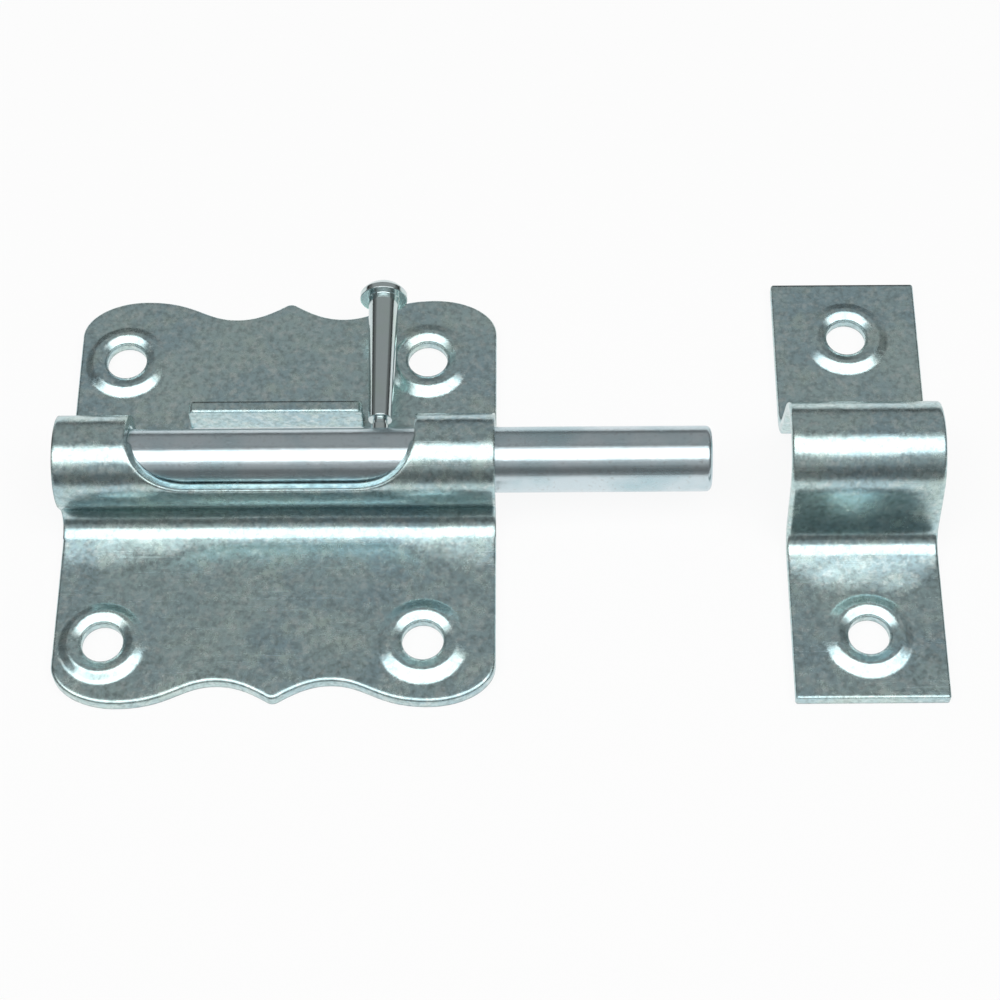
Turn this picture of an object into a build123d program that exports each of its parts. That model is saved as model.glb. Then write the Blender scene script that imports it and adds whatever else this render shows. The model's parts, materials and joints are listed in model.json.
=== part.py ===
# Surface bolt in pressed, zinc-plated steel: base plate with a rolled barrel, rod, handle pin and keeper.
# Millimetres. The origin is the centre of the plate's screw pattern, on the face that lies on the door.
# +X is the throw towards the keeper, +Y the side where the handle lies, +Z out of the door.
import os
from math import acos, atan2, cos, degrees, hypot, radians, sin, sqrt

from build123d import *

# Sheet
sheet = 1.5
fold_radius = 2.4
edge_round = 0.35

# Rod
rod_diameter = 8.0
rod_length = 76.0
rod_reach = 26.2
rod_axis_height = 7.5
rod_axis_offset = 1.6
rod_end_round = 0.7
barrel_clearance = 0.2

# Base plate
plate_width = 52.8
plate_height = 56.8
plate_shift_x = 1.4
plate_shift_y = 0.6
ear_crest_from_side = 7.9
ear_corner_drop = 5.2
scallop_dip_from_middle = 6.8
scallop_depth = 2.8
cusp_drop = 0.3
cusp_slope = 32.0
cusp_round = 1.2

# Window in the barrel, with a notch at each end of the turned-up lip
window_length = 34.6
window_shift = -0.5
window_front_angle = 68.0
window_corner_run = 7.25
window_back_from_axis = 7.7
lip_length = 21.4
lip_shift = -0.9
lip_from_axis = 9.6
lip_height = 5.75
lip_bend_radius = 1.0
lip_corner_round = 0.6

# Screw holes in raised collars
screw_from_side = 7.3
screw_from_end = 8.6
screw_hole_diameter = 5.0
collar_crest_diameter = 7.9
collar_rise = 0.65
collar_crest_round = 0.6
collar_foot_round = 0.8
collar_dish_depth = 0.45
countersink_angle = 136.0
near_collar_diameter = 10.6
far_collar_diameter = 11.2
keeper_collar_diameter = 11.0

# Handle pin
handle_from_plate_end = 14.1
handle_seat_gap = 0.05
collar_length = 0.9
pin_collar_diameter = 2.2
pin_neck_length = 0.85
pin_neck_diameter = 1.8
stem_root_diameter = 2.9
stem_head_diameter = 3.8
head_seat_from_axis = 23.4
head_diameter = 5.9
head_rim = 0.7
head_height = 2.35

# Keeper
keeper_gap = 9.2
keeper_width = 18.4
keeper_length = 58.6
keeper_hole_from_end = 8.2
keeper_offset = 1.6
keeper_side_clearance = 0.9
keeper_arch_height = 8.3
keeper_arch_half_base = 10.1
keeper_edge_round = 0.35

# Worked out from the sizes above
screw_spacing_x = plate_width - 2 * screw_from_side
screw_spacing_y = plate_height - 2 * screw_from_end
keeper_hole_spacing = keeper_length - 2 * keeper_hole_from_end
rod_radius = rod_diameter / 2
barrel_inner = rod_radius + barrel_clearance
barrel_outer = barrel_inner + sheet
crown_height = rod_axis_height + barrel_outer
plate_left = plate_shift_x - plate_width / 2
plate_right = plate_shift_x + plate_width / 2
rod_tip = plate_right + rod_reach
window_middle = plate_shift_x + window_shift
window_left = window_middle - window_length / 2
window_right = window_middle + window_length / 2
lip_outer = rod_axis_offset + lip_from_axis
lip_middle = plate_shift_x + lip_shift
handle_x = plate_right - handle_from_plate_end
keeper_left = rod_tip + keeper_gap
keeper_middle = keeper_left + keeper_width / 2
keeper_inner = rod_radius + keeper_side_clearance
spare = 1.0


def necked_half_base(center_height, inner_radius):
    """Half the width of an arch whose crown runs straight into its folds, so that it closes in on a rod."""
    rise = center_height - sheet - fold_radius
    return sqrt((inner_radius + sheet + fold_radius) ** 2 - rise ** 2)


def arch_outline(middle, center_height, inner_radius, half_base, depth):
    """Lines of an arch seen along X, depth below the sheet's upper face, closed along the door face."""
    crown = inner_radius + sheet - depth
    fold = fold_radius + depth
    rise = center_height - sheet - fold_radius
    spread = hypot(half_base, rise)
    lean = degrees(acos(min(1, (crown + fold) / spread)) - atan2(rise, half_base))
    out, up = cos(radians(lean)), sin(radians(lean))
    CenterArc((middle, center_height), crown, lean, 180 - 2 * lean)
    for side in (-1, 1):
        fold_center = (middle + side * half_base, sheet + fold_radius)
        top = (middle + side * crown * out, center_height + crown * up)
        foot = (fold_center[0] - side * fold * out, fold_center[1] - fold * up)
        if hypot(top[0] - foot[0], top[1] - foot[1]) > 0.01:
            Line(top, foot)
        CenterArc(fold_center, fold, -90 if side < 0 else 180 + lean, 90 - lean)
    front, back = middle - half_base, middle + half_base
    if depth < sheet:
        Polyline((front, sheet), (front, 0), (back, 0), (back, sheet))
    else:
        Line((front, 0), (back, 0))


def arch_section(middle, center_height, inner_radius, half_base):
    """Section of the sheet bent into an arch, drawn on a YZ plane."""
    with BuildLine() as upper:
        arch_outline(middle, center_height, inner_radius, half_base, 0)
    make_face(upper.edges())
    with BuildLine() as lower:
        arch_outline(middle, center_height, inner_radius, half_base, sheet)
    make_face(lower.edges(), mode=Mode.SUBTRACT)


def at_height(edges, height):
    """The circular ones of some edges that lie at one height."""
    return edges.filter_by(GeomType.CIRCLE).filter_by_position(Axis.Z, height - 0.01, height + 0.01)


def screw_collars(builder, places, diameter):
    """Collars pressed up from the sheet, dished behind, each with a countersunk hole in a rounded crest."""
    crest = sheet + collar_rise
    flat = (Align.CENTER, Align.CENTER, Align.MIN)
    with Locations(*[(x, y, sheet) for x, y in places]):
        Cone(diameter / 2, collar_crest_diameter / 2, collar_rise, align=flat)
    feet = at_height(builder.edges(Select.LAST), sheet)
    fillet(feet.filter_by(lambda edge: abs(edge.radius - diameter / 2) < 0.01), collar_foot_round)
    with Locations(*[(x, y, crest) for x, y in places]):
        CounterSinkHole(screw_hole_diameter / 2, collar_crest_diameter / 2,
                        counter_sink_angle=countersink_angle)
    fillet(at_height(builder.edges(Select.LAST), crest), collar_crest_round)
    with Locations(*[(x, y, 0) for x, y in places]):
        Cone(diameter / 2 - collar_dish_depth, collar_crest_diameter / 2, collar_dish_depth, align=flat,
             mode=Mode.SUBTRACT)


os.makedirs("parts", exist_ok=True)

# Base plate: scalloped flat, barrel, window, lip and screw collars
half_width = plate_width / 2
half_height = plate_height / 2
ear_crest = half_width - ear_crest_from_side
half_base = necked_half_base(rod_axis_height, barrel_inner)

with BuildPart() as base_plate:
    with BuildSketch(Plane((plate_shift_x, plate_shift_y, 0))):
        with BuildLine():
            Spline(
                (0, half_height - cusp_drop),
                (scallop_dip_from_middle, half_height - scallop_depth),
                (ear_crest, half_height),
                tangents=[(cos(radians(cusp_slope)), -sin(radians(cusp_slope))), (1, 0), (1, 0)],
            )
            EllipticalCenterArc((ear_crest, half_height - ear_corner_drop),
                                ear_crest_from_side, ear_corner_drop, arc_size=90)
            Line((half_width, half_height - ear_corner_drop), (half_width, 0))
            mirror(about=Plane.XZ)
            mirror(about=Plane.YZ)
        make_face()
    extrude(amount=sheet)
    cusps = base_plate.edges().filter_by(Axis.Z)
    fillet(cusps.filter_by_position(Axis.X, plate_shift_x - edge_round, plate_shift_x + edge_round),
           cusp_round)
    fillet(base_plate.faces().sort_by(Axis.Z)[-1].edges(), edge_round)

    # The flat is cut away under the barrel, and the sheet goes over the rod there
    with Locations((plate_shift_x, rod_axis_offset, 0)):
        Box(plate_width, 2 * half_base, sheet, align=(Align.CENTER, Align.CENTER, Align.MIN),
            mode=Mode.SUBTRACT)
    with BuildSketch(Plane.YZ.offset(plate_left)):
        arch_section(rod_axis_offset, rod_axis_height, barrel_inner, half_base)
    extrude(amount=plate_width)

    # Window: a long opening in front of the crown with swept ends, cut square to the sheet at its front edge,
    # and everything behind the crown as far as the window's back edge
    front_turn = radians(90 - window_front_angle)
    window_plane = Plane((0, rod_axis_offset, rod_axis_height), x_dir=(1, 0, 0),
                         z_dir=(0, -cos(front_turn), sin(front_turn)))
    crown_rise = barrel_outer * cos(front_turn)
    with BuildSketch(window_plane):
        with BuildLine():
            left_foot = (window_left + window_corner_run, 0)
            right_foot = (window_right - window_corner_run, 0)
            Line(left_foot, right_foot)
            TangentArc(right_foot, (window_right, crown_rise), tangent=(1, 0))
            TangentArc(left_foot, (window_left, crown_rise), tangent=(-1, 0))
            Polyline((window_left, crown_rise), (window_left, crown_rise + spare),
                     (window_right, crown_rise + spare), (window_right, crown_rise))
        make_face()
    extrude(amount=barrel_outer + spare, mode=Mode.SUBTRACT)
    with Locations((window_middle, rod_axis_offset, -spare)):
        Box(window_length, window_back_from_axis, crown_height + 2 * spare,
            align=(Align.CENTER, Align.MIN, Align.MIN), mode=Mode.SUBTRACT)

    # Lip: a tongue that is cut free at its ends and turned up behind the window
    lip_bend = lip_outer + lip_bend_radius
    lip_inner = lip_outer - sheet
    window_back = rod_axis_offset + window_back_from_axis
    bend_top = sheet + lip_bend_radius
    with Locations((lip_middle, window_back, 0)):
        Box(lip_length, lip_bend - window_back, sheet, align=(Align.CENTER, Align.MIN, Align.MIN),
            mode=Mode.SUBTRACT)
    with BuildSketch(Plane.YZ.offset(lip_middle - lip_length / 2)):
        with BuildLine():
            CenterArc((lip_bend, bend_top), bend_top, 180, 90)
            Polyline((lip_inner, bend_top), (lip_inner, lip_height), (lip_outer, lip_height),
                     (lip_outer, bend_top))
            CenterArc((lip_bend, bend_top), lip_bend_radius, 180, 90)
            Line((lip_bend, sheet), (lip_bend, 0))
        make_face()
    extrude(amount=lip_length)
    lip_corners = base_plate.edges().filter_by(Axis.Y)
    fillet(lip_corners.filter_by_position(Axis.Z, lip_height - edge_round, lip_height + edge_round),
           lip_corner_round)

    screws = [[(x * screw_spacing_x / 2, y * screw_spacing_y / 2) for y in (-1, 1)] for x in (-1, 1)]
    screw_collars(base_plate, screws[0], near_collar_diameter)
    screw_collars(base_plate, screws[1], far_collar_diameter)
base_plate.part.label = "base_plate"
export_step(base_plate.part, "parts/base_plate.step")

# Rod, with its edges rounded at both ends
with BuildPart() as bolt_rod:
    with BuildSketch(Plane.YZ.offset(rod_tip - rod_length)):
        with Locations((rod_axis_offset, rod_axis_height)):
            Circle(rod_radius)
    extrude(amount=rod_length)
    fillet(bolt_rod.edges().filter_by(GeomType.CIRCLE), rod_end_round)
bolt_rod.part.label = "bolt_rod"
export_step(bolt_rod.part, "parts/bolt_rod.step")

# Handle pin, turned about its own axis: collar, neck, tapered stem and domed head, saddled on the rod
collar_end = rod_radius + collar_length
stem_start = collar_end + pin_neck_length
head_top = head_seat_from_axis + head_height
handle_axis = Plane((handle_x, rod_axis_offset, rod_axis_height), x_dir=(1, 0, 0), z_dir=(0, 0, 1))

with BuildPart() as handle_pin:
    with Locations(Plane(handle_axis.origin, z_dir=(0, 1, 0)).location):
        Cylinder(pin_collar_diameter / 2, collar_end, align=(Align.CENTER, Align.CENTER, Align.MIN))
    with Locations(Plane(handle_axis.origin, x_dir=(0, -1, 0), z_dir=(1, 0, 0)).location):
        Cylinder(rod_radius + handle_seat_gap, 2 * head_diameter, mode=Mode.SUBTRACT)
    with BuildSketch(handle_axis):
        with BuildLine():
            Polyline(
                (0, head_top),
                (0, collar_end),
                (pin_neck_diameter / 2, collar_end),
                (pin_neck_diameter / 2, stem_start),
                (stem_root_diameter / 2, stem_start),
                (stem_head_diameter / 2, head_seat_from_axis),
                (head_diameter / 2, head_seat_from_axis),
                (head_diameter / 2, head_seat_from_axis + head_rim),
            )
            TangentArc((0, head_top), (head_diameter / 2, head_seat_from_axis + head_rim), tangent=(1, 0))
        make_face()
    revolve(axis=Axis(handle_axis.origin, handle_axis.y_dir))
handle_pin.part.label = "handle_pin"
export_step(handle_pin.part, "parts/handle_pin.step")

# Keeper: a strap with an arch that the rod enters with room to spare
with BuildPart() as keeper:
    with Locations((keeper_middle, keeper_offset, 0)):
        Box(keeper_width, keeper_length, sheet, align=(Align.CENTER, Align.CENTER, Align.MIN))
        Box(keeper_width, 2 * keeper_arch_half_base, sheet, align=(Align.CENTER, Align.CENTER, Align.MIN),
            mode=Mode.SUBTRACT)
    with BuildSketch(Plane.YZ.offset(keeper_left)):
        arch_section(keeper_offset, keeper_arch_height, keeper_inner, keeper_arch_half_base)
    extrude(amount=keeper_width)
    fillet(keeper.faces().sort_by(Axis.X)[0].edges(), keeper_edge_round)
    fillet(keeper.faces().sort_by(Axis.X)[-1].edges(), keeper_edge_round)
    screw_collars(keeper, [(keeper_middle, keeper_offset + y * keeper_hole_spacing / 2) for y in (-1, 1)],
                  keeper_collar_diameter)
keeper.part.label = "keeper"
export_step(keeper.part, "parts/keeper.step")
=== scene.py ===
"""Looks of a zinc-plated surface bolt and its keeper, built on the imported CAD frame.

Laid out as a Blender add-on: the sizes and colours are properties, each group of pieces has its own
operator, and main() runs the operators in order.
"""

import json
import math

import bpy
from mathutils import Matrix, Vector


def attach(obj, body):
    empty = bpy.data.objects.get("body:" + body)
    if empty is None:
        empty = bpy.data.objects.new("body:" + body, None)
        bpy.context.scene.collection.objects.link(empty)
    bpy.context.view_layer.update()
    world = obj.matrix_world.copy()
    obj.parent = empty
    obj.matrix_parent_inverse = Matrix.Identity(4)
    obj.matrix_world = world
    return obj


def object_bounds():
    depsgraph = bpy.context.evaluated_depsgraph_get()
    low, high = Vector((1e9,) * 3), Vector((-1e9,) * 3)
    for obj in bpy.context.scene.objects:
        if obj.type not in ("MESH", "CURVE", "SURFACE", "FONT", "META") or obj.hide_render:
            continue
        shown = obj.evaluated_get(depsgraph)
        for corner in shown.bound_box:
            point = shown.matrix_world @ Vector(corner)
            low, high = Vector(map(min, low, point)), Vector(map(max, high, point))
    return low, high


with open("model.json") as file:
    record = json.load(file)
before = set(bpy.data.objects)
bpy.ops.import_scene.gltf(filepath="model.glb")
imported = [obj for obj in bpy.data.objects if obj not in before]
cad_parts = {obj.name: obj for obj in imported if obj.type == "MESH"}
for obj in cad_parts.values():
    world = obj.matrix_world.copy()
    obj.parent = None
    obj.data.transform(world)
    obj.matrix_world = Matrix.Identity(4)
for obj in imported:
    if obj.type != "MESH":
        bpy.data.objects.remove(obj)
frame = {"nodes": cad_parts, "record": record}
cad_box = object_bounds()

bl_info = {
    "name": "Surface bolt looks",
    "version": (1, 0, 0),
    "blender": (4, 5, 0),
    "location": "View3D > Sidebar > Bolt",
    "description": "Zinc finishes, punched hole rims and a plain studio for a pressed surface bolt",
    "category": "Object",
}

WHITE = (1.0, 1.0, 1.0, 1.0)
RELIEF = 0.00001  # metres of relief for each unit of a finish's height
RELIEF_STRENGTH = 0.5
EDGE_SAMPLES = 8  # rays with which a finish looks for edges to round
RING_STEPS = 96  # sides of a rim round its hole
BEAD_STEPS = 14  # sides of a rim's section
FLOOR_HALF = 3.0  # metres from the middle of the floor to its sides
FLOOR_GAP = 0.00005  # metres by which the floor lies under the bolt, so that their faces stay apart
LOW_DOWN = (0.15, 0.35)  # upward share of a direction, from the low part of the room to the rest
BEHIND = (0.0, 0.5)  # share of a direction away from the camera, from beside the bolt to behind it
SENSOR_WIDTH = 36.0  # millimetres
NEAREST_VIEW = 0.01  # metres from the camera


# Shader maths


class Wire:
    """A shader value that can be used in a Python expression; each operator adds one Math node."""

    def __init__(self, finish, socket):
        self.finish = finish
        self.socket = socket

    def maths(self, operation, first, second):
        return self.finish.node("ShaderNodeMath", {"operation": operation}, {0: first, 1: second})[0]

    def __add__(self, other):
        return self.maths("ADD", self, other)

    def __radd__(self, other):
        return self.maths("ADD", other, self)

    def __sub__(self, other):
        return self.maths("SUBTRACT", self, other)

    def __rsub__(self, other):
        return self.maths("SUBTRACT", other, self)

    def __mul__(self, other):
        return self.maths("MULTIPLY", self, other)

    def __rmul__(self, other):
        return self.maths("MULTIPLY", other, self)

    def __truediv__(self, other):
        return self.maths("DIVIDE", self, other)

    def __rtruediv__(self, other):
        return self.maths("DIVIDE", other, self)

    def highest(self, other):
        return self.maths("MAXIMUM", self, other)


class Finish:
    """A node tree being built, for a material or for the world."""

    def __init__(self, owner):
        owner.use_nodes = True
        self.tree = owner.node_tree
        self.tree.nodes.clear()

    def node(self, kind, settings=None, sockets=None):
        """Adds one node and returns its outputs as wires, by number or by name."""
        made = self.tree.nodes.new(kind)
        for name, value in (settings or {}).items():
            if name == "stops":
                self.set_stops(made.color_ramp, value)
            else:
                setattr(made, name, value)
        for name, value in (sockets or {}).items():
            if isinstance(value, Wire):
                self.tree.links.new(value.socket, made.inputs[name])
            else:
                made.inputs[name].default_value = value
        return Outputs(self, made)

    @staticmethod
    def set_stops(ramp, stops):
        while len(ramp.elements) < len(stops):
            ramp.elements.new(1.0)
        for element, (place, level) in zip(ramp.elements, stops):
            element.position = place
            element.color = (level, level, level, 1.0)

    def noise(self, place, scale, detail=3.0, roughness=0.55):
        return self.node(
            "ShaderNodeTexNoise", None,
            {"Vector": place, "Scale": scale, "Detail": detail, "Roughness": roughness},
        )["Fac"]

    def rise(self, value, low, high, course="SMOOTHSTEP"):
        """Climbs from 0 at low to 1 at high, and stays there."""
        return self.node(
            "ShaderNodeMapRange", {"interpolation_type": course},
            {"Value": value, "From Min": low, "From Max": high},
        )[0]

    def ramp(self, value, *stops):
        """Turns a value into a level by stops, each a place and the level there."""
        return self.node("ShaderNodeValToRGB", {"stops": stops}, {"Fac": value})["Color"]

    def stretched(self, place, scale, turn=(0.0, 0.0, 0.0)):
        return self.node(
            "ShaderNodeMapping", None, {"Vector": place, "Scale": scale, "Rotation": turn}
        )[0]

    def blend(self, amount, first, second):
        """Mixes two colours; a colour is a wire or three numbers."""
        first, second = (c if isinstance(c, Wire) else (*c, 1.0) for c in (first, second))
        return self.node("ShaderNodeMix", {"data_type": "RGBA"}, {0: amount, 6: first, 7: second})[2]


class Outputs:
    """The outputs of one node, each as a wire."""

    def __init__(self, finish, made):
        self.finish = finish
        self.made = made

    def __getitem__(self, key):
        return Wire(self.finish, self.made.outputs[key])


# Properties


def colour(label, about, default):
    return bpy.props.FloatVectorProperty(
        name=label, description=about, subtype="COLOR", size=3, min=0.0, max=1.0, default=default
    )


def length(label, about, default):
    return bpy.props.FloatProperty(
        name=label, description=about, unit="LENGTH", default=default, precision=5
    )


def angle(label, about, degrees):
    return bpy.props.FloatProperty(
        name=label, description=about, subtype="ANGLE", default=math.radians(degrees)
    )


def power(label, about, default):
    return bpy.props.FloatProperty(
        name=label, description=about, unit="POWER", min=0.0, default=default
    )


def share(label, about, default):
    return bpy.props.FloatProperty(
        name=label, description=about, subtype="FACTOR", min=0.0, max=1.0, default=default
    )


def number(label, about, default):
    return bpy.props.FloatProperty(name=label, description=about, min=0.0, default=default)


def numbers(label, about, default, unit="LENGTH"):
    return bpy.props.FloatVectorProperty(
        name=label, description=about, size=len(default), unit=unit, precision=5, default=default
    )


class BOLT_PG_zinc(bpy.types.PropertyGroup):
    """Colours and texture of the zinc plating"""

    sheet_tone: colour("Sheet tone", "Main colour of the plated sheet", (0.545, 0.71, 0.705))
    cool_tint: colour("Cool tint", "Bluish passivation that drifts over the zinc", (0.44, 0.61, 0.66))
    warm_tint: colour("Warm tint", "Faint straw tint in the mottling", (0.58, 0.71, 0.65))
    rod_tone: colour("Rod tone", "Colour of the drawn rod", (0.64, 0.74, 0.78))
    rod_specks: colour("Rod specks", "Colour of the rod's fine specks", (0.40, 0.40, 0.40))
    dark_grain: colour("Dark grain", "Fine dark grain in the sheet", (0.25, 0.32, 0.32))
    light_grain: colour("Light grain", "Fine bright flecks in the sheet", (0.79, 0.87, 0.85))
    pin_tone: colour("Pin tone", "Colour of the turned handle pin", (0.61, 0.70, 0.71))
    sheet_roughness: share("Sheet roughness", "Lowest roughness of the sheet", 0.17)
    rod_roughness: share("Rod roughness", "Lowest roughness of the rod", 0.22)
    pin_roughness: share("Pin roughness", "Lowest roughness of the pin", 0.13)
    mottle_size: length("Mottle size", "Size of the patches in the plating", 0.0032)
    sheet_softening: length(
        "Sheet edge softening", "Radius to which the sheet's edges look rounded", 0.0006
    )
    turned_softening: length(
        "Turned edge softening", "Radius to which the rod's and pin's edges look rounded", 0.0002
    )


class BOLT_PG_bends(bpy.types.PropertyGroup):
    """Slow bends of the near flats, where the press drew the sheet into its folds"""

    plate_foot: length("Plate fold", "Line where the plate's near fold meets the flat", -0.00566)
    keeper_foot: length("Keeper fold", "Line where the keeper's near fold meets its tab", -0.0085)
    keeper_start: numbers(
        "Keeper start", "Stretch along the bolt between the plate and the keeper", (0.040, 0.050)
    )
    short_reach: length("Short reach", "How far the bend runs into the plate's middle", 0.0012)
    long_reach: length("Long reach", "How much farther it runs at the plate's ends", 0.0046)
    left_end: numbers(
        "Left end", "Stretch over which the reach falls from the plate's left end", (-0.019, -0.003)
    )
    right_end: numbers(
        "Right end", "Stretch over which the reach grows to the plate's right end", (0.014, 0.023)
    )
    keeper_left: numbers(
        "Keeper left", "Stretch over which the reach grows to the keeper's middle", (0.058, 0.069)
    )
    keeper_right: numbers(
        "Keeper right", "Stretch over which the reach falls from the keeper's middle", (0.075, 0.085)
    )
    keeper_share: number("Keeper share", "Reach at the keeper's middle, against the plate's ends", 1.3)
    unevenness: share("Unevenness", "How far the reach drifts with the clouding of the zinc", 0.4)
    fold_reach: length("Fold reach", "How far the bend runs up into the fold", 0.0012)
    slope: number("Slope", "Steepness of the bend at the fold", 0.158)


class BOLT_PG_rims(bpy.types.PropertyGroup):
    """Fine rims that the punch left round the screw holes"""

    ring_radius: length("Ring radius", "Radius of a rim round its screw hole", 0.00266)
    bead_radius: length("Bead radius", "Radius of the rim's rounded section", 0.00014)
    ring_height: length("Ring height", "Height of a rim over the door face", 0.00163)


class BOLT_PG_stage(bpy.types.PropertyGroup):
    """Floor, light and camera"""

    floor_colour: colour("Floor colour", "Colour of the plain floor", (0.95, 0.95, 0.95))
    floor_glow: share(
        "Floor glow", "How far the floor is lifted to white in view and in reflections", 0.90
    )
    surround_grey: share("Surround grey", "Level of the room round the object", 0.16)
    far_shade: share("Far shade", "How much darker the room is low down behind the bolt", 0.8)
    lamp_length: length("Lamp length", "Size of the lamps along the bolt", 0.95)
    lamp_distance: length("Lamp distance", "Distance of the lamps from the bolt", 0.5)
    softbox_power: power("Softbox power", "Power of the overhead softbox in watts", 2.4)
    softbox_depth: length("Softbox depth", "Size of the softbox across the bolt", 0.34)
    softbox_lean: angle("Softbox lean", "Lean of the softbox from overhead, away from the camera", -10.5)
    panel_power: power("Panel power", "Power of the dim panel behind the bolt in watts", 0.30)
    panel_depth: length("Panel depth", "Size of the panel across the bolt", 0.50)
    panel_lean: angle("Panel lean", "Lean of the panel from overhead, away from the camera", 50.0)
    fill_power: power("Fill power", "Power of the faint fill over the camera in watts", 0.17)
    fill_depth: length("Fill depth", "Size of the fill across the bolt", 0.23)
    fill_lean: angle("Fill lean", "Lean of the fill from overhead, away from the camera", -43.0)
    lens: number("Lens", "Focal length in millimetres", 88.77)
    camera_shift: numbers(
        "Camera shift", "Shift of the picture, as shares of its width", (-0.0478, 0.0063), "NONE"
    )
    camera_pitch: angle("Camera pitch", "Lean of the camera from straight overhead", 29.118)
    camera_pan: angle("Camera pan", "Turn of the camera to the side", -0.245)
    camera_roll: angle("Camera roll", "Turn of the camera about its line of sight", -0.367)
    camera_distance: length("Camera distance", "Distance of the camera from its target", 0.3047)
    camera_target: numbers(
        "Camera target", "Point from which that distance is taken", (0.034165, -0.000724, 0.0)
    )


# Finishes. A roughness pattern's own least level is taken off, so that the property is the lowest value.


def new_finish(name):
    material = bpy.data.materials.new(name)
    return material, Finish(material)


def new_zinc(name, zinc):
    """Starts a zinc finish: its material, its tree, the place on the object and the patches per metre."""
    material, finish = new_finish(name)
    place = finish.node("ShaderNodeTexCoord")["Object"]
    return material, finish, place, 1.0 / zinc.mottle_size


def close_zinc(finish, tint, roughness, height, softening):
    """Joins the worked-out colour, roughness and fine relief to a metal shader."""
    rounded = finish.node("ShaderNodeBevel", {"samples": EDGE_SAMPLES}, {"Radius": softening})["Normal"]
    relief = finish.node(
        "ShaderNodeBump", None,
        {
            "Strength": RELIEF_STRENGTH,
            "Distance": RELIEF / RELIEF_STRENGTH,
            "Height": height,
            "Normal": rounded,
        },
    )["Normal"]
    metal = finish.node(
        "ShaderNodeBsdfPrincipled", None,
        {"Base Color": tint, "Metallic": 1.0, "Roughness": roughness, "Normal": relief},
    )[0]
    finish.node("ShaderNodeOutputMaterial", None, {"Surface": metal})


def slow_bend(finish, bends, place, cloud):
    """Height of the slow bend of the near flats into their folds, in the units of the fine relief."""
    spot = finish.node("ShaderNodeSeparateXYZ", None, {"Vector": place})
    along = spot["X"]
    on_keeper = finish.rise(along, *bends.keeper_start)
    foot = on_keeper * (bends.keeper_foot - bends.plate_foot) + bends.plate_foot
    left_end = 1.0 - finish.rise(along, *bends.left_end)
    right_end = finish.rise(along, *bends.right_end) - on_keeper
    keeper_middle = finish.rise(along, *bends.keeper_left) - finish.rise(along, *bends.keeper_right)
    spread = left_end + right_end + keeper_middle * bends.keeper_share
    drift = cloud * bends.unevenness + (1.0 - bends.unevenness / 2.0)
    reach = spread * drift * bends.long_reach + bends.short_reach
    past_foot = spot["Y"] - foot
    flat = finish.rise(past_foot / reach, -1.0, 0.0, "LINEAR")
    fold = finish.rise(past_foot, 0.0, bends.fold_reach, "LINEAR")
    # The slope grows as 2u - u * u over the flat and fades evenly in the fold; these are its sums.
    flat_lift = (flat * flat * (3.0 - flat) - 2.0) / 3.0 * reach
    fold_lift = fold * (2.0 - fold) / 2.0 * bends.fold_reach
    return (flat_lift + fold_lift) * (bends.slope / RELIEF)


def sheet_finish(zinc, bends):
    """Bright zinc on pressed sheet: drifting blue and straw tints, mottling and handling marks."""
    material, finish, place, patch = new_zinc("zinc_sheet", zinc)
    cloud = finish.noise(place, patch * 0.28, detail=2.0)
    mottle = finish.noise(place, patch, detail=5.0, roughness=0.62)
    grain = finish.noise(place, patch * 5.0, detail=4.0, roughness=0.6)
    slanted = finish.stretched(place, scale=(60.0, 2600.0, 900.0), turn=(0.0, 0.0, 0.45))
    scuffs = finish.noise(slanted, 1.0, detail=2.0)
    scuff_lines = finish.ramp(scuffs, (0.62, 0.0), (0.72, 1.0))
    flecks = finish.noise(place, patch * 3.5, detail=4.0, roughness=0.65)
    tint = finish.blend(finish.ramp(cloud, (0.36, 0.0), (0.64, 1.0)), zinc.sheet_tone, zinc.cool_tint)
    tint = finish.blend(finish.ramp(mottle, (0.48, 0.0), (0.70, 0.8)), tint, zinc.warm_tint)
    tint = finish.blend(finish.ramp(grain, (0.32, 0.58), (0.56, 0.0)), tint, zinc.dark_grain)
    tint = finish.blend(finish.ramp(flecks, (0.49, 0.0), (0.71, 0.60)), tint, zinc.light_grain)
    roughness = mottle * 0.20 + grain * 0.08 + scuff_lines * 0.05 + (zinc.sheet_roughness - 0.06)
    height = cloud * 34.0 + mottle * 0.6 + grain * 0.25 - scuff_lines * 0.15
    height = height + slow_bend(finish, bends, place, cloud)
    close_zinc(finish, tint, roughness, height, zinc.sheet_softening)
    return material


def rod_finish(zinc):
    """Bright zinc on drawn bar: fine lines along the bar and faint clouding."""
    material, finish, place, patch = new_zinc("zinc_rod", zinc)
    cloud = finish.noise(place, patch * 0.45)
    drawn = finish.noise(finish.stretched(place, scale=(45.0, 3200.0, 3200.0)), 1.0)
    specks = finish.noise(place, patch * 7.0, detail=2.0)
    tint = finish.blend(finish.ramp(cloud, (0.42, 0.0), (0.68, 0.8)), zinc.rod_tone, zinc.cool_tint)
    tint = finish.blend(finish.ramp(specks, (0.30, 0.3), (0.42, 0.0)), tint, zinc.rod_specks)
    roughness = cloud * 0.10 + drawn * 0.06 + (zinc.rod_roughness - 0.04)
    height = cloud * 4.0 + drawn * 0.8 + specks * 0.6
    close_zinc(finish, tint, roughness, height, zinc.turned_softening)
    return material


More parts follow.
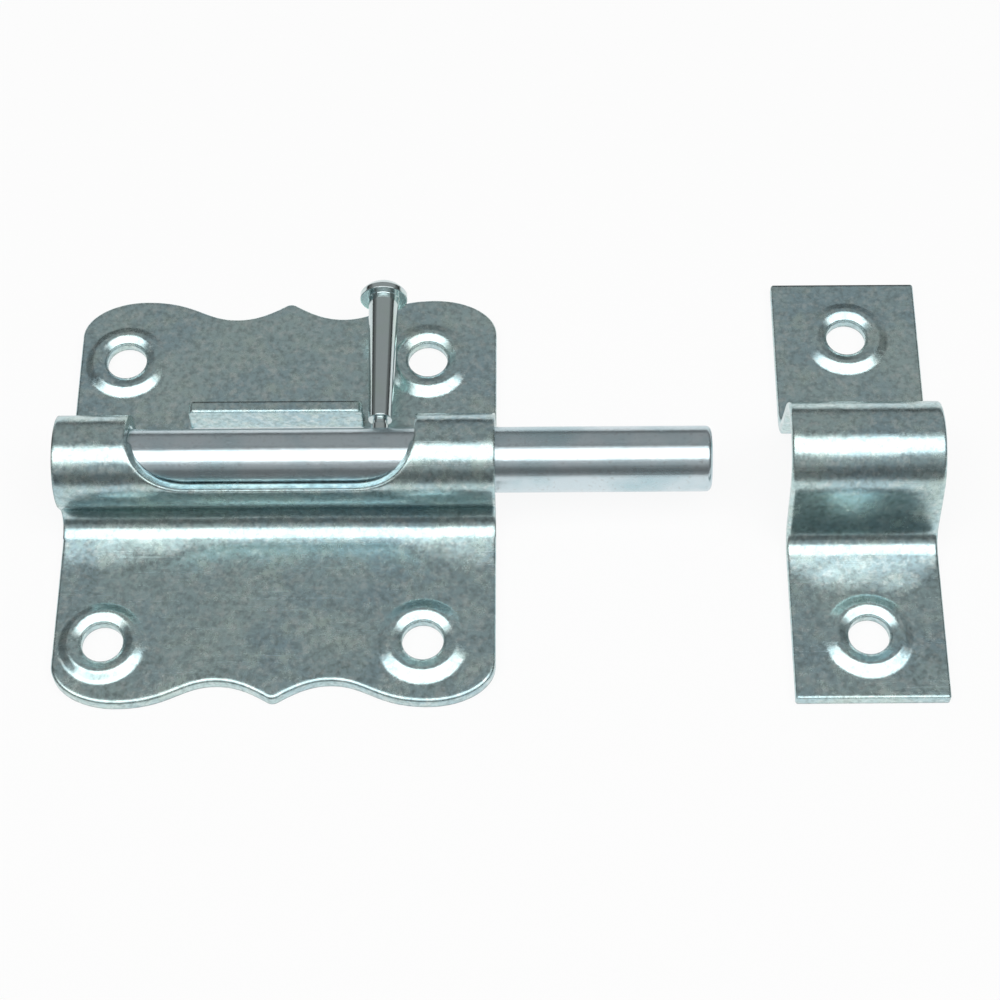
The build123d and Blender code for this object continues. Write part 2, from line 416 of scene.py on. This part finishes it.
def pin_finish(zinc):
    """Bright zinc on a turned pin: fine rings round its own axis."""
    material, finish, place, patch = new_zinc("zinc_pin", zinc)
    cloud = finish.noise(place, patch * 0.6)
    rings = finish.noise(finish.stretched(place, scale=(60.0, 5200.0, 60.0)), 1.0)
    tint = finish.blend(finish.ramp(cloud, (0.42, 0.0), (0.66, 0.8)), zinc.pin_tone, zinc.warm_tint)
    roughness = cloud * 0.12 + rings * 0.08 + (zinc.pin_roughness - 0.06)
    close_zinc(finish, tint, roughness, rings, zinc.turned_softening)
    return material


def dress(node, material):
    """Gives a CAD node its finish; its shape stays as packed."""
    slots = frame["nodes"][node].material_slots
    if not slots:
        raise RuntimeError(f"{node} has no material slot to dress")
    for slot in slots:
        slot.material = material


# Punched rims, one in each screw collar


def rim_tree(rims, material):
    """Geometry Nodes: a fine ring on every point it is given."""
    tree = bpy.data.node_groups.new("punched_rims", "GeometryNodeTree")
    face = tree.interface
    face.new_socket("Hole Centres", in_out="INPUT", socket_type="NodeSocketGeometry")
    ring_size = face.new_socket("Ring Radius", in_out="INPUT", socket_type="NodeSocketFloat")
    bead_size = face.new_socket("Bead Radius", in_out="INPUT", socket_type="NodeSocketFloat")
    face.new_socket("Rims", in_out="OUTPUT", socket_type="NodeSocketGeometry")

    def add(kind, **sockets):
        made = tree.nodes.new(kind)
        for name, value in sockets.items():
            socket = made.inputs[name.replace("_", " ")]
            if isinstance(value, bpy.types.NodeSocket):
                tree.links.new(value, socket)
            else:
                socket.default_value = value
        return made

    def circle(steps, radius):
        return add("GeometryNodeCurvePrimitiveCircle", Resolution=steps, Radius=radius).outputs["Curve"]

    given = tree.nodes.new("NodeGroupInput").outputs
    path = circle(RING_STEPS, given["Ring Radius"])
    section = circle(BEAD_STEPS, given["Bead Radius"])
    ring = add("GeometryNodeCurveToMesh", Curve=path, Profile_Curve=section).outputs["Mesh"]
    placed = add("GeometryNodeInstanceOnPoints", Points=given["Hole Centres"], Instance=ring)
    smooth = add("GeometryNodeSetShadeSmooth", Geometry=placed.outputs["Instances"])
    real = add("GeometryNodeRealizeInstances", Geometry=smooth.outputs["Geometry"])
    coated = add("GeometryNodeSetMaterial", Geometry=real.outputs["Geometry"], Material=material)
    add("NodeGroupOutput", Rims=coated.outputs["Geometry"])
    return tree, {ring_size.identifier: rims.ring_radius, bead_size.identifier: rims.bead_radius}


def hole_centres(rims):
    """Places of the screw holes, from the record's screw patterns in millimetres."""
    centres = []
    for mount in frame["record"]["mounts"]:
        if mount["kind"] != "bolt_pattern":
            continue
        middle = Vector(mount["pos_m"])
        half_x = mount["dims"].get("spacing_x_mm", 0.0) / 2000
        half_y = mount["dims"].get("spacing_y_mm", 0.0) / 2000
        for x in sorted({-half_x, half_x}):
            for y in sorted({-half_y, half_y}):
                centres.append(middle + Vector((x, y, rims.ring_height)))
    return centres


def make_rims(rims, material):
    """The rims as one plain mesh, taken from the node tree's result."""
    points = bpy.data.meshes.new("hole_centres")
    points.from_pydata(hole_centres(rims), [], [])
    holder = bpy.data.objects.new("hole_centres", points)
    bpy.context.collection.objects.link(holder)
    tree, sizes = rim_tree(rims, material)
    modifier = holder.modifiers.new("punched_rims", "NODES")
    modifier.node_group = tree
    for identifier, value in sizes.items():
        modifier[identifier] = value
    bpy.context.view_layer.update()
    seen = holder.evaluated_get(bpy.context.evaluated_depsgraph_get())
    mesh = bpy.data.meshes.new_from_object(seen)
    mesh.name = "hole_rims"
    holder.modifiers.remove(modifier)
    bpy.data.objects.remove(holder)
    piece = bpy.data.objects.new("hole_rims", mesh)
    bpy.context.collection.objects.link(piece)
    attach(piece, "housing")


# Stage


def floor_finish(stage):
    """A plain pale floor that views and reflections see near white, with the object's shadow kept."""
    material, finish = new_finish("floor")
    light_path = finish.node("ShaderNodeLightPath")
    watched = light_path["Is Camera Ray"].highest(light_path["Is Glossy Ray"])
    watched = watched.highest(light_path["Is Transmission Ray"])
    matt = finish.node("ShaderNodeBsdfDiffuse", None, {"Color": (*stage.floor_colour, 1.0)})[0]
    glow = finish.node("ShaderNodeEmission", None, {"Color": WHITE, "Strength": 1.0})[0]
    mixed = finish.node("ShaderNodeMixShader", None, {0: watched * stage.floor_glow, 1: matt, 2: glow})[0]
    finish.node("ShaderNodeOutputMaterial", None, {"Surface": mixed})
    return material


def make_floor(stage):
    corners = [(x * FLOOR_HALF, y * FLOOR_HALF, 0.0) for x, y in ((-1, -1), (1, -1), (1, 1), (-1, 1))]
    mesh = bpy.data.meshes.new("floor")
    mesh.from_pydata(corners, [], [(0, 1, 2, 3)])
    mesh.materials.append(floor_finish(stage))
    floor = bpy.data.objects.new("floor", mesh)
    floor.location.z = cad_box[0].z - FLOOR_GAP
    bpy.context.collection.objects.link(floor)


def make_lamp(name, stage, depth, lean, watts):
    """A long flat lamp that faces the bolt, leaning from overhead away from the camera."""
    lamp = bpy.data.lights.new(name, "AREA")
    lamp.shape = "RECTANGLE"
    lamp.size = stage.lamp_length
    lamp.size_y = depth
    lamp.energy = watts
    holder = bpy.data.objects.new(name, lamp)
    middle = (Vector(cad_box[0]) + Vector(cad_box[1])) / 2
    holder.location = middle + Vector((0.0, math.sin(lean), math.cos(lean))) * stage.lamp_distance
    holder.rotation_euler = (-lean, 0.0, 0.0)
    bpy.context.collection.objects.link(holder)


def make_light(stage):
    """Three lamps in a plain grey room, which is darker low down behind the bolt."""
    make_lamp("softbox", stage, stage.softbox_depth, stage.softbox_lean, stage.softbox_power)
    make_lamp("panel", stage, stage.panel_depth, stage.panel_lean, stage.panel_power)
    make_lamp("fill", stage, stage.fill_depth, stage.fill_lean, stage.fill_power)
    world = bpy.data.worlds.new("room")
    bpy.context.scene.world = world
    finish = Finish(world)
    direction = finish.node("ShaderNodeTexCoord")["Generated"]
    way = finish.node("ShaderNodeSeparateXYZ", None, {"Vector": direction})
    low = 1.0 - finish.rise(way["Z"], *LOW_DOWN)
    behind = finish.rise(way["Y"], *BEHIND)
    level = (1.0 - low * behind * stage.far_shade) * stage.surround_grey
    room = finish.node("ShaderNodeBackground", None, {"Color": WHITE, "Strength": level})[0]
    finish.node("ShaderNodeOutputWorld", None, {"Surface": room})


def make_camera(stage):
    """Camera at the photograph's angle: pitch from overhead, then a slight pan and roll."""
    data = bpy.data.cameras.new("camera")
    data.sensor_width = SENSOR_WIDTH
    data.lens = stage.lens
    data.shift_x, data.shift_y = stage.camera_shift
    data.clip_start = NEAREST_VIEW
    camera = bpy.data.objects.new("camera", data)
    pitch = Matrix.Rotation(stage.camera_pitch, 4, "X")
    pan = Matrix.Rotation(stage.camera_pan, 4, "Y")
    roll = Matrix.Rotation(stage.camera_roll, 4, "Z")
    turned = pitch @ pan @ roll
    stand = Vector(stage.camera_target) + turned.col[2].xyz * stage.camera_distance
    camera.matrix_world = Matrix.Translation(stand) @ turned
    bpy.context.collection.objects.link(camera)
    bpy.context.scene.camera = camera


# Operators


class BOLT_OT_pressings(bpy.types.Operator):
    """Finish the pressed base plate and keeper, and add the rims of their screw holes"""

    bl_idname = "bolt.pressings"
    bl_label = "Plate and Keeper"

    def execute(self, context):
        material = sheet_finish(context.scene.bolt_zinc, context.scene.bolt_bends)
        dress("base_plate", material)
        dress("keeper", material)
        make_rims(context.scene.bolt_rims, material)
        return {"FINISHED"}


class BOLT_OT_rod(bpy.types.Operator):
    """Finish the sliding rod"""

    bl_idname = "bolt.rod"
    bl_label = "Rod"

    def execute(self, context):
        dress("bolt_rod", rod_finish(context.scene.bolt_zinc))
        return {"FINISHED"}


class BOLT_OT_pin(bpy.types.Operator):
    """Finish the turned handle pin"""

    bl_idname = "bolt.pin"
    bl_label = "Handle Pin"

    def execute(self, context):
        dress("handle_pin", pin_finish(context.scene.bolt_zinc))
        return {"FINISHED"}


class BOLT_OT_stage(bpy.types.Operator):
    """Set the floor, the lamps, the room and the camera"""

    bl_idname = "bolt.stage"
    bl_label = "Stage"

    def execute(self, context):
        context.scene.view_settings.view_transform = "Standard"
        make_floor(context.scene.bolt_stage)
        make_light(context.scene.bolt_stage)
        make_camera(context.scene.bolt_stage)
        return {"FINISHED"}


class BOLT_PT_sidebar(bpy.types.Panel):
    """Lists the steps and the values that they use"""

    bl_idname = "BOLT_PT_sidebar"
    bl_label = "Surface Bolt"
    bl_space_type = "VIEW_3D"
    bl_region_type = "UI"
    bl_category = "Bolt"

    def draw(self, context):
        for step in STEPS:
            self.layout.operator(step.bl_idname)
        for name, kind in GROUPS.items():
            column = self.layout.column()
            for value in kind.__annotations__:
                column.prop(getattr(context.scene, name), value)


GROUPS = {
    "bolt_zinc": BOLT_PG_zinc,
    "bolt_bends": BOLT_PG_bends,
    "bolt_rims": BOLT_PG_rims,
    "bolt_stage": BOLT_PG_stage,
}
STEPS = (BOLT_OT_pressings, BOLT_OT_rod, BOLT_OT_pin, BOLT_OT_stage)


def register():
    for made in (*GROUPS.values(), *STEPS, BOLT_PT_sidebar):
        bpy.utils.register_class(made)
    for name, group in GROUPS.items():
        setattr(bpy.types.Scene, name, bpy.props.PointerProperty(type=group))


def unregister():
    for name in GROUPS:
        delattr(bpy.types.Scene, name)
    for made in reversed((*GROUPS.values(), *STEPS, BOLT_PT_sidebar)):
        bpy.utils.unregister_class(made)


def main():
    register()
    bpy.ops.bolt.pressings()
    bpy.ops.bolt.rod()
    bpy.ops.bolt.pin()
    bpy.ops.bolt.stage()


if __name__ == "__main__":
    main()
